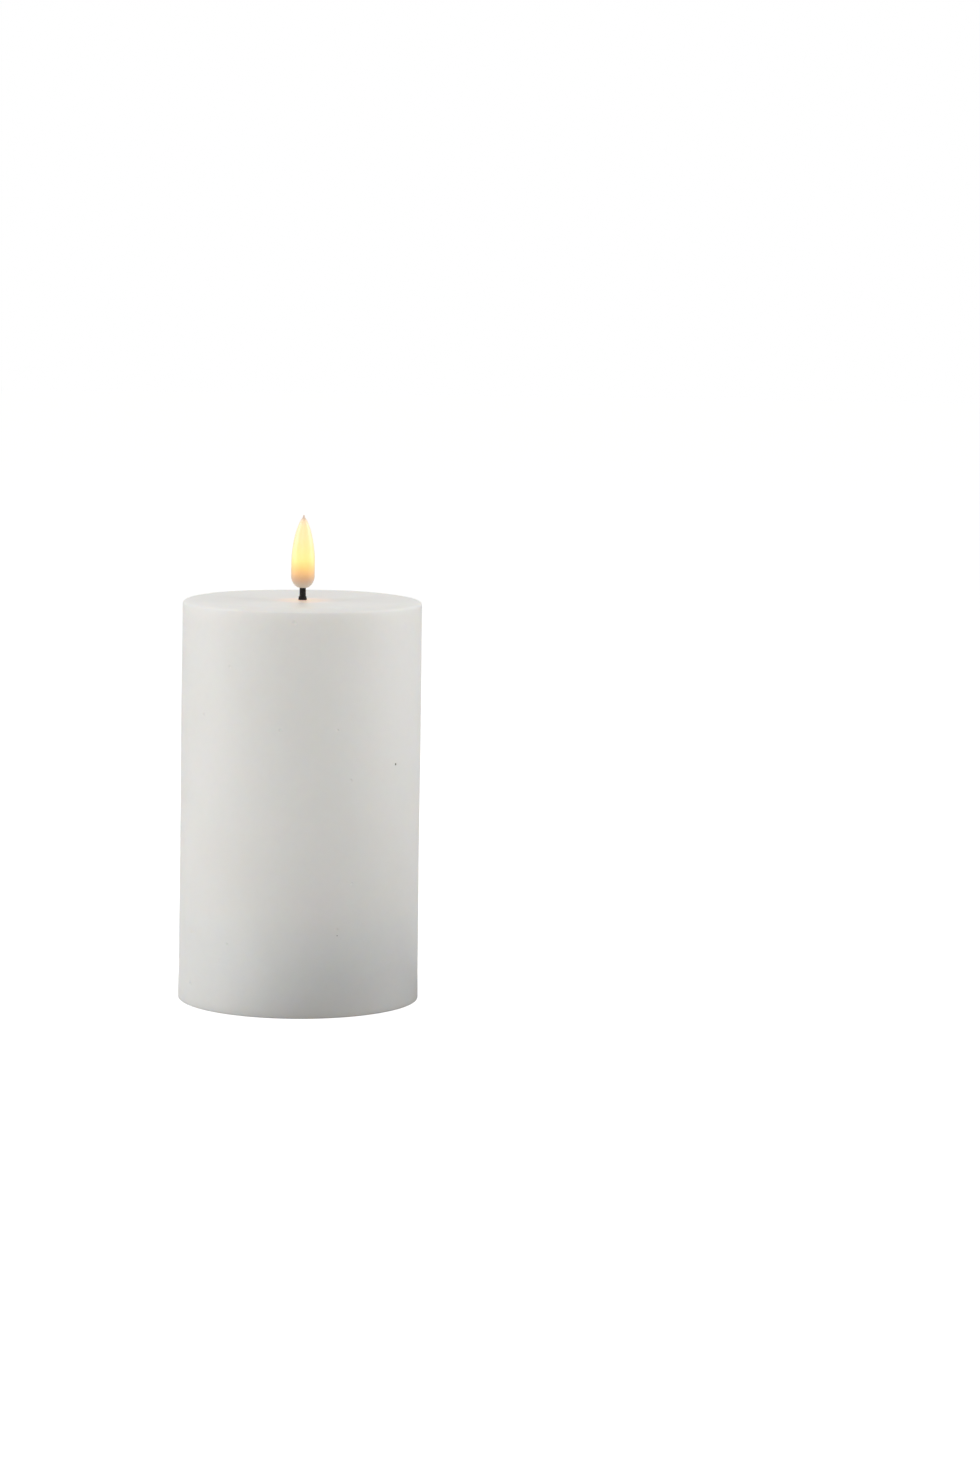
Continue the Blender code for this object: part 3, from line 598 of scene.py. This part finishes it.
def make_flame():
    """A thin shell, open at its foot round the wick."""
    heights = [FLAME_HEIGHT * sin(pi / 2 * step / FLAME_RINGS) for step in range(FLAME_RINGS - 1, 0, -1)]
    outer = [(flame_radius(height), FLAME_FOOT + height) for height in (*heights, 0.3, 0.12, 0.03, 0.0)]
    inside = [(max(flame_radius(height) - FLAME_WALL, 0.2), FLAME_FOOT + height)
              for height in (0.9, 1.6, 2.4, 3.4, 5.5, 8.0, 11.0, 14.0, 17.0, 19.5)]
    profile = [(0.0, FLAME_FOOT + FLAME_HEIGHT), *outer, (FLAME_FOOT_RADIUS - 0.05, FLAME_FOOT), *inside,
               (0.0, FLAME_FOOT + FLAME_HEIGHT - FLAME_TIP_WALL)]
    flame = turned("flame_glow", profile, FLAME_AROUND, flame_look(), flame_wobble)
    standing_for(flame, "flame_shell")


def wick_wobble(spot):
    """Strands wind round the wick, so its section is faintly lobed."""
    if hypot(spot.x, spot.y) < WICK_HIGH.x - 0.1:
        return spot
    turn = WICK_STRANDS * atan2(spot.y, spot.x) + spot.z * WICK_TWIST
    return Vector((spot.x, spot.y, 0)) * (1 - WICK_GROOVE * (1 - cos(turn))) + Vector((0, 0, spot.z))


def make_wick():
    """The wick, and the flared ferrule that it stands in."""
    look = wick_look()
    outer = WICK_HIGH.x
    side = [(outer, WICK_HIGH.z + (WICK_LOW.z - WICK_HIGH.z) * step / WICK_RINGS)
            for step in range(WICK_RINGS + 1)]
    profile = [(WICK_BORE_RADIUS, WICK_HIGH.z), *side, (WICK_BORE_RADIUS, WICK_LOW.z)]
    standing_for(turned("wick_sleeve", profile, WICK_AROUND, look, wick_wobble), "wick_tube")
    inner = outer + 0.1
    wide = COLLAR_HIGH.x
    top = COLLAR_HIGH.z
    base = COLLAR_LOW.z
    ferrule = [(inner, top), (inner + 0.06, top), (inner + 0.12, top - 0.06), (wide - 0.08, top - 0.34),
               (wide, top - 0.5), (wide, top - 0.95), (wide - 0.07, top - 1.08), (wide - 0.16, top - 1.3),
               (wide - 0.18, base + 0.1), (wide - 0.25, base), (inner, base)]
    standing_for(turned("wick_ferrule", ferrule, WICK_AROUND, look), "wick_collar")


# ---------------------------------------------------------------- the carried-over CAD nodes

def dress_frame():
    """A detailed material for every CAD node that stays."""
    white = plastic_look("housing_plastic", (0.80, 0.79, 0.76))
    black = plastic_look("black_plastic", (0.022, 0.022, 0.023), roughness=0.45)
    rubber = plastic_look("rubber", (0.03, 0.03, 0.03), roughness=0.72, grain_depth=0.02)
    steel = metal_look("plated_steel", (0.6, 0.6, 0.6), 0.32, (300.0, 300.0, 2500.0))
    nickel = metal_look("nickel_strip", (0.72, 0.69, 0.62), 0.24, (250.0, 250.0, 2200.0))
    cell = cell_look()
    red_wire = plastic_look("red_insulation", (0.5, 0.025, 0.018), 0.34, 0.004, 0.3)
    black_wire = plastic_look("black_insulation", (0.018, 0.018, 0.018), 0.34, 0.004, 0.3)
    looks = {
        white: ("base_housing", "housing_cover", "battery_door", "lamp_holder"),
        black: ("controller_chip", "switch_slider"),
        rubber: ("wire_grommet",),
        steel: ("cover_screw_1", "cover_screw_2", "cover_screw_3", "board_screw_1", "board_screw_2",
                "switch_body", "timer_crystal", "led_lead_1", "led_lead_2", "contact_spring_1",
                "contact_spring_2"),
        nickel: ("bridge_contact", "plus_contact", "minus_contact"),
        cell: ("battery_cell_1", "battery_cell_2"),
        board_look(): ("circuit_board",),
        capacitor_look(): ("capacitor",),
        resistor_look(): ("resistor",),
        lamp_look(): ("led_lamp",),
        red_wire: ("battery_wire_red", "led_wire_red"),
        black_wire: ("battery_wire_black", "led_wire_black"),
    }
    for look, nodes in looks.items():
        for name in nodes:
            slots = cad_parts[name].data.materials
            slots.clear()
            slots.append(look)


# ---------------------------------------------------------------- floor, light and camera

# The floor, in metres
FLOOR_REACH = 6.0
FLOOR_OPENING = (WAX_RADIUS - FOOT_BEVEL - 0.1) * MM  # hidden under the wax ring, so that light reaches below
FLOOR_AROUND = 96
FLOOR_GREY = 0.62
FLOOR_LIFT = 0.72  # what it shines with, to the eye alone, so that it comes out nearly white
SHADE_CENTRE = (0.048, -0.020, 0)  # painted shade: the middle of a patch round the foot, set off to its right and front, where the floor is painted darker for the light it throws back up
SHADE_FROM = 0.042
SHADE_TO = 0.100
SHADE_DEEPEST = 0.02
SHADE_FAINTEST = 0.8

# How strongly the surroundings shine on the candle, and in its gloss
WORLD_FILL = 0.46
WORLD_GLOSS = 0.85

# The lamps, in metres: their size and place, and for each its degrees from the front towards +X, and watts
BOX_SIZE = (0.7, 1.1)
BOX_DISTANCE = 1.0
BOX_HEIGHT = 0.6
BOX_TARGET = Vector((0, 0, 0.07))
BOXES = {"left_box": (-86, 4.8), "right_box": (97, 5.0), "front_fill": (-8, 1.8)}

# The camera
CAMERA_PLACE = (0.0578, -1.195, 0.2264)  # metres
CAMERA_PITCH = 2.464  # degrees below the horizontal
CAMERA_ROLL = 0.80  # degrees
CAMERA_LENS = 94.0
CAMERA_SENSOR = 36.0
CAMERA_SHIFT = -0.2


def mixed(tree, factor, first, second):
    """The first shader where the factor is 0, and the second where it is 1."""
    made = tree.nodes.new("ShaderNodeMixShader")
    for output, socket in zip((factor, first, second), made.inputs):
        tree.links.new(output, socket)
    return made.outputs[0]


def floor_look():
    """Matt and nearly white. For the light it throws back on the candle it is painted darker in a patch round
    the foot, a painted shade, and from below it is clear, so that it doesn't hide the underside."""
    material = bpy.data.materials.new("pale_floor")
    material.use_nodes = True
    tree = material.node_tree
    tree.nodes.clear()
    coordinates = tree.nodes.new("ShaderNodeTexCoord")
    away = tree.nodes.new("ShaderNodeVectorMath")
    away.operation = "DISTANCE"
    away.inputs[1].default_value = SHADE_CENTRE
    tree.links.new(coordinates.outputs["Object"], away.inputs[0])
    shade = tree.nodes.new("ShaderNodeMapRange")
    shade.interpolation_type = "SMOOTHSTEP"
    shade.inputs["From Min"].default_value = SHADE_FROM
    shade.inputs["From Max"].default_value = SHADE_TO
    shade.inputs["To Min"].default_value = SHADE_DEEPEST
    shade.inputs["To Max"].default_value = SHADE_FAINTEST
    tree.links.new(away.outputs["Value"], shade.inputs["Value"])
    # painted shade: the floor's colour for bounced light, darker near the foot
    dimmed = tree.nodes.new("ShaderNodeBsdfDiffuse")
    tree.links.new(shade.outputs["Result"], dimmed.inputs["Color"])
    matt = tree.nodes.new("ShaderNodeBsdfDiffuse")
    matt.inputs["Color"].default_value = (FLOOR_GREY, FLOOR_GREY, FLOOR_GREY, 1)
    lifted = tree.nodes.new("ShaderNodeEmission")
    lifted.inputs["Color"].default_value = (1, 1, 1, 1)
    lifted.inputs["Strength"].default_value = FLOOR_LIFT
    seen = tree.nodes.new("ShaderNodeAddShader")
    tree.links.new(matt.outputs[0], seen.inputs[0])
    tree.links.new(lifted.outputs[0], seen.inputs[1])
    path = tree.nodes.new("ShaderNodeLightPath")
    geometry = tree.nodes.new("ShaderNodeNewGeometry")
    clear = tree.nodes.new("ShaderNodeBsdfTransparent")
    above = mixed(tree, path.outputs["Is Camera Ray"], dimmed.outputs[0], seen.outputs[0])
    both = mixed(tree, geometry.outputs["Backfacing"], above, clear.outputs[0])
    output = tree.nodes.new("ShaderNodeOutputMaterial")
    tree.links.new(both, output.inputs["Surface"])
    return material


def make_floor():
    """A wide ring round the candle's foot."""
    shape = bmesh.new()
    turns = [2 * pi * i / FLOOR_AROUND for i in range(FLOOR_AROUND)]
    near, far = ([shape.verts.new((radius * cos(turn), radius * sin(turn), 0)) for turn in turns]
                 for radius in (FLOOR_OPENING, FLOOR_REACH))
    for i in range(FLOOR_AROUND):
        k = (i + 1) % FLOOR_AROUND
        shape.faces.new((near[i], far[i], far[k], near[k]))
    mesh = bpy.data.meshes.new("floor")
    shape.to_mesh(mesh)
    shape.free()
    mesh.materials.append(floor_look())
    floor = bpy.data.objects.new("floor", mesh)
    bpy.context.scene.collection.objects.link(floor)


def make_world():
    """White to the eye and nearly as white in reflections, with a softer even fill for the candle."""
    world = bpy.data.worlds.new("studio")
    bpy.context.scene.world = world
    world.use_nodes = True
    tree = world.node_tree
    tree.nodes.clear()

    def background(colour, strength):
        light = tree.nodes.new("ShaderNodeBackground")
        light.inputs["Color"].default_value = (*colour, 1)
        light.inputs["Strength"].default_value = strength
        return light.outputs[0]

    path = tree.nodes.new("ShaderNodeLightPath")
    shining = mixed(tree, path.outputs["Is Glossy Ray"], background((1.0, 0.99, 0.97), WORLD_FILL),
                    background((1, 1, 1), WORLD_GLOSS))
    shown = mixed(tree, path.outputs["Is Camera Ray"], shining, background((1, 1, 1), 1.0))
    output = tree.nodes.new("ShaderNodeOutputWorld")
    tree.links.new(shown, output.inputs["Surface"])


def make_lights():
    """Soft rectangular lamps round the candle, which all face its middle."""
    for name, (degrees, watts) in BOXES.items():
        turn = radians(degrees)
        light = bpy.data.lights.new(name, "AREA")
        light.shape = "RECTANGLE"
        light.size, light.size_y = BOX_SIZE
        light.energy = watts
        lamp = bpy.data.objects.new(name, light)
        lamp.location = (BOX_DISTANCE * sin(turn), -BOX_DISTANCE * cos(turn), BOX_HEIGHT)
        lamp.rotation_euler = (BOX_TARGET - lamp.location).to_track_quat("-Z", "Y").to_euler()
        lamp.visible_camera = False
        bpy.context.scene.collection.objects.link(lamp)


def make_camera():
    data = bpy.data.cameras.new("camera")
    data.sensor_width = CAMERA_SENSOR
    data.lens = CAMERA_LENS
    data.shift_y = CAMERA_SHIFT
    camera = bpy.data.objects.new("camera", data)
    camera.location = CAMERA_PLACE
    tilt = Matrix.Rotation(radians(90 - CAMERA_PITCH), 3, "X")
    camera.rotation_euler = (tilt @ Matrix.Rotation(radians(CAMERA_ROLL), 3, "Z")).to_euler()
    bpy.context.scene.collection.objects.link(camera)
    bpy.context.scene.camera = camera


make_camera()
make_wax()
make_flame()
make_wick()
dress_frame()
make_floor()
make_world()
make_lights()
bpy.context.scene.view_settings.view_transform = "Standard"
